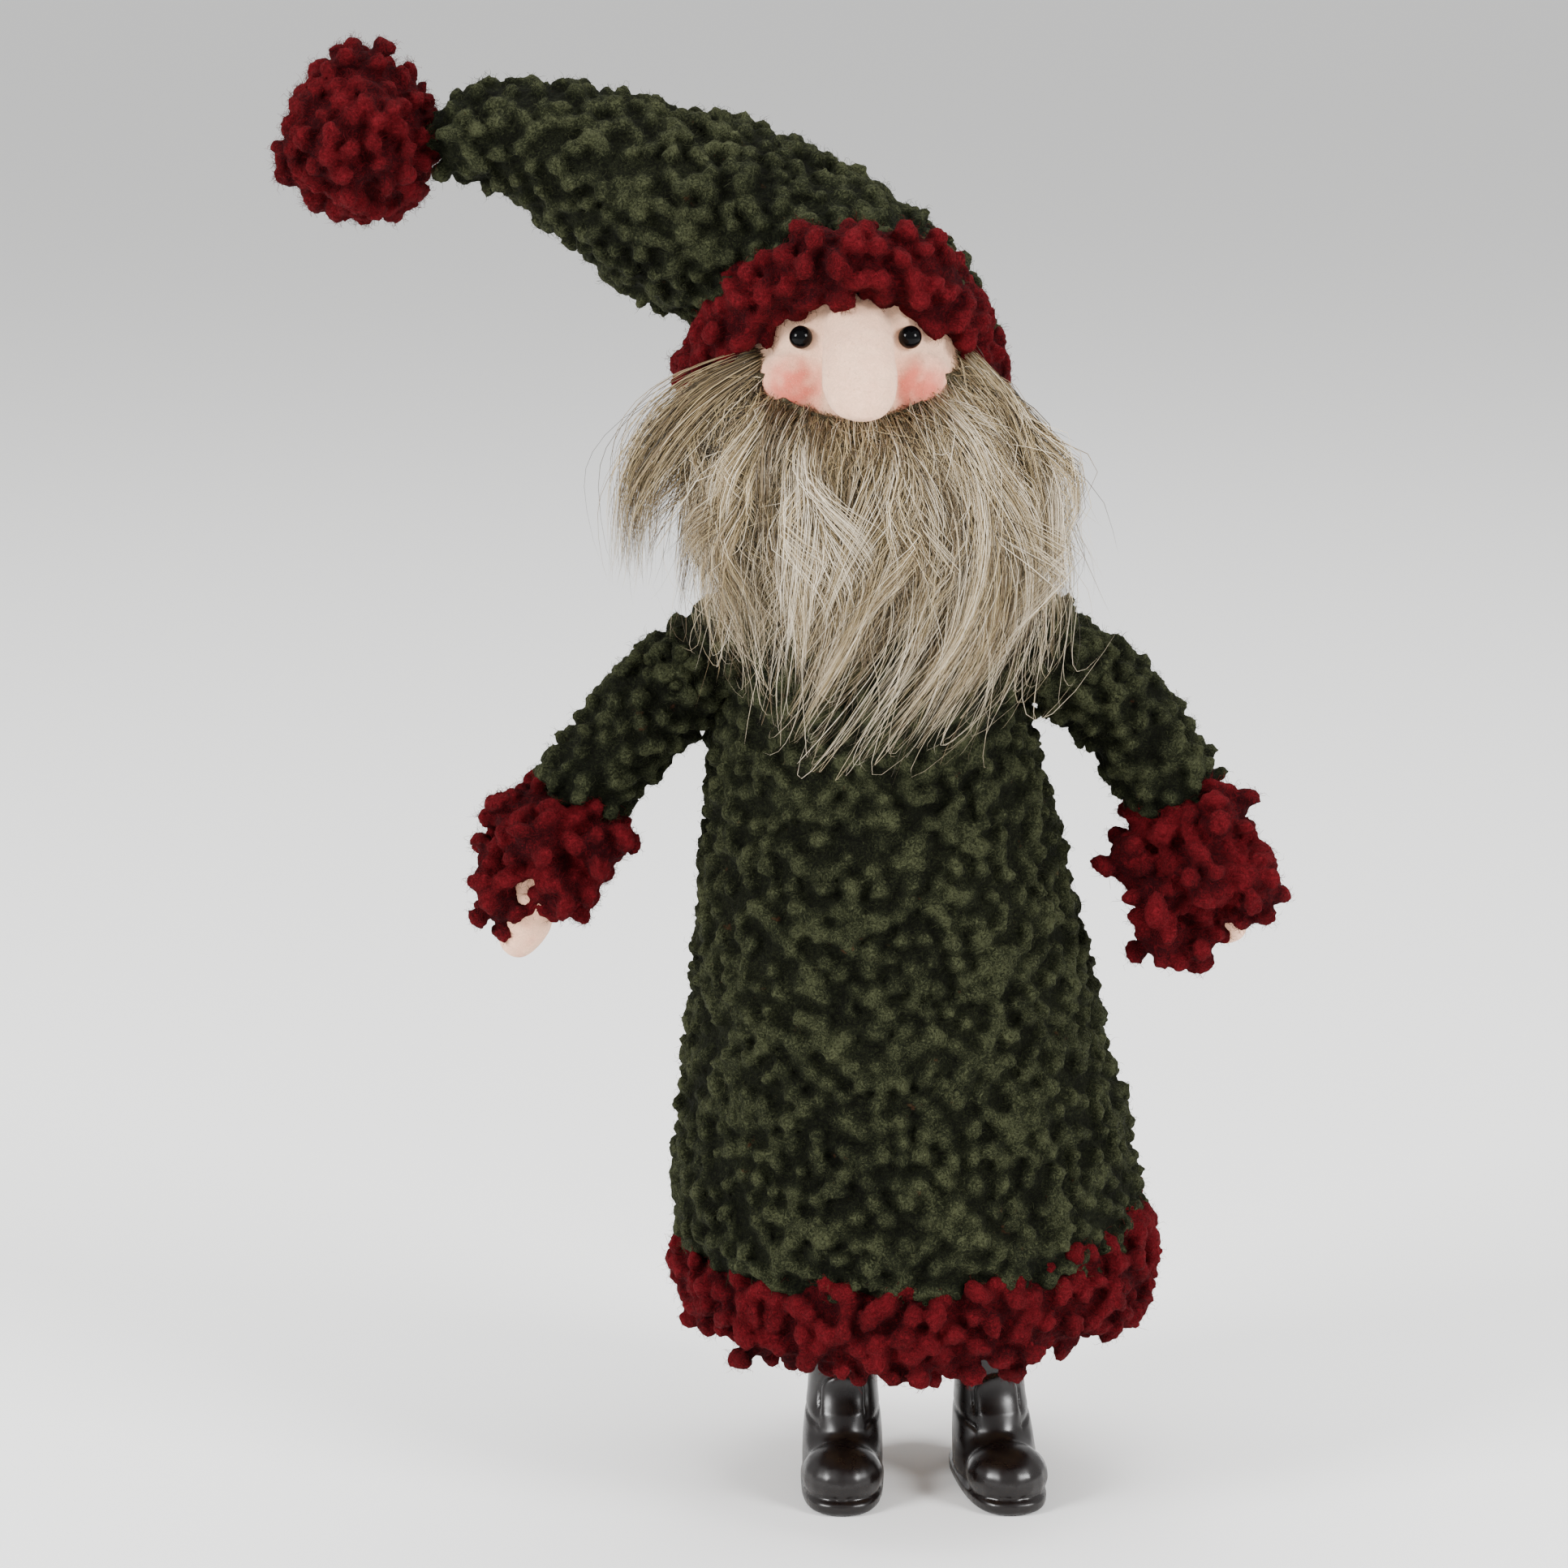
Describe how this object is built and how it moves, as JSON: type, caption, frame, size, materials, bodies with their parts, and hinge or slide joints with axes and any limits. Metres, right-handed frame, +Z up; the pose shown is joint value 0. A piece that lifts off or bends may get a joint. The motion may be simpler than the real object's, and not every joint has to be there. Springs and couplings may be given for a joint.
{
  "type": "tomte gnome figurine",
  "caption": "Standing felt-faced gnome in a green bouclé coat and long bent hat with red trim, fur beard and glossy boots; arms and hat point bend.",
  "frame": {"origin": "centre of the bounding box at floor level, under the boots", "axes": "+Z up, the face looks along -Y, the hat's point hangs out along -X"},
  "size_m": [0.2046, 0.0916, 0.3003],
  "materials": {
    "green_boucle": "dark green curly bouclé knit",
    "red_boucle": "dark red curly bouclé knit",
    "felt_skin": "needle-felted wool",
    "bead": "polished black bead",
    "fur": "long grey-beige artificial fur",
    "fur_backing": "knitted backing cloth of the fur",
    "wadding": "loose polyester wadding",
    "boot_plastic": "moulded, glossy dark brown",
    "dowel_wood": "turned dowel, unfinished",
    "disc_wood": "sawn disc, unfinished",
    "wire": "soft annealed wire"
  },
  "bodies": {
    "figure": {"boot_left": "boot_plastic", "leg_dowel_left": "dowel_wood", "eye_left": "bead", "boot_right": "boot_plastic", "leg_dowel_right": "dowel_wood", "eye_right": "bead", "base_disc": "disc_wood", "coat": "green_boucle", "shoulder_wire": "wire", "body_wadding": "wadding", "hem_trim": "red_boucle", "face_felt": "felt_skin", "nose": "felt_skin", "hat_crown": "green_boucle", "hat_wadding": "wadding", "head_core": "wadding", "hat_wire_lower": "wire", "hat_brim": "red_boucle", "beard_backing": "fur_backing", "beard_fur": "fur"},
    "arm_upper_left": {"sleeve_upper_left": "green_boucle", "arm_wire_upper_left": "wire"},
    "arm_lower_left": {"sleeve_lower_left": "green_boucle", "arm_wire_lower_left": "wire", "cuff_left": "red_boucle", "hand_left": "felt_skin"},
    "arm_upper_right": {"sleeve_upper_right": "green_boucle", "arm_wire_upper_right": "wire"},
    "arm_lower_right": {"sleeve_lower_right": "green_boucle", "arm_wire_lower_right": "wire", "cuff_right": "red_boucle", "hand_right": "felt_skin"},
    "hat_point": {"hat_tip": "green_boucle", "hat_wire_tip": "wire", "pompom": "red_boucle"}
  },
  "joints": [
    {"name": "left_shoulder_bend", "type": "hinge", "parent": "figure", "child": "arm_upper_left", "pos_m": [-0.00998, -0.003, 0.181], "axis": [0, 1, 0], "range_deg": [-5, 40]},
    {"name": "left_elbow_bend", "type": "hinge", "parent": "arm_upper_left", "child": "arm_lower_left", "pos_m": [-0.0291, -0.003, 0.16552], "axis": [0, 1, 0], "range_deg": [-3, 45]},
    {"name": "right_shoulder_bend", "type": "hinge", "parent": "figure", "child": "arm_upper_right", "pos_m": [0.05002, -0.003, 0.181], "axis": [0, -1, 0], "range_deg": [-5, 40]},
    {"name": "right_elbow_bend", "type": "hinge", "parent": "arm_upper_right", "child": "arm_lower_right", "pos_m": [0.06914, -0.003, 0.16552], "axis": [0, -1, 0], "range_deg": [-3, 45]},
    {"name": "hat_bend", "type": "hinge", "parent": "figure", "child": "hat_point", "pos_m": [-0.03023, 0.005, 0.2702], "axis": [0, 1, 0], "range_deg": [-35, 60]}
  ]
}
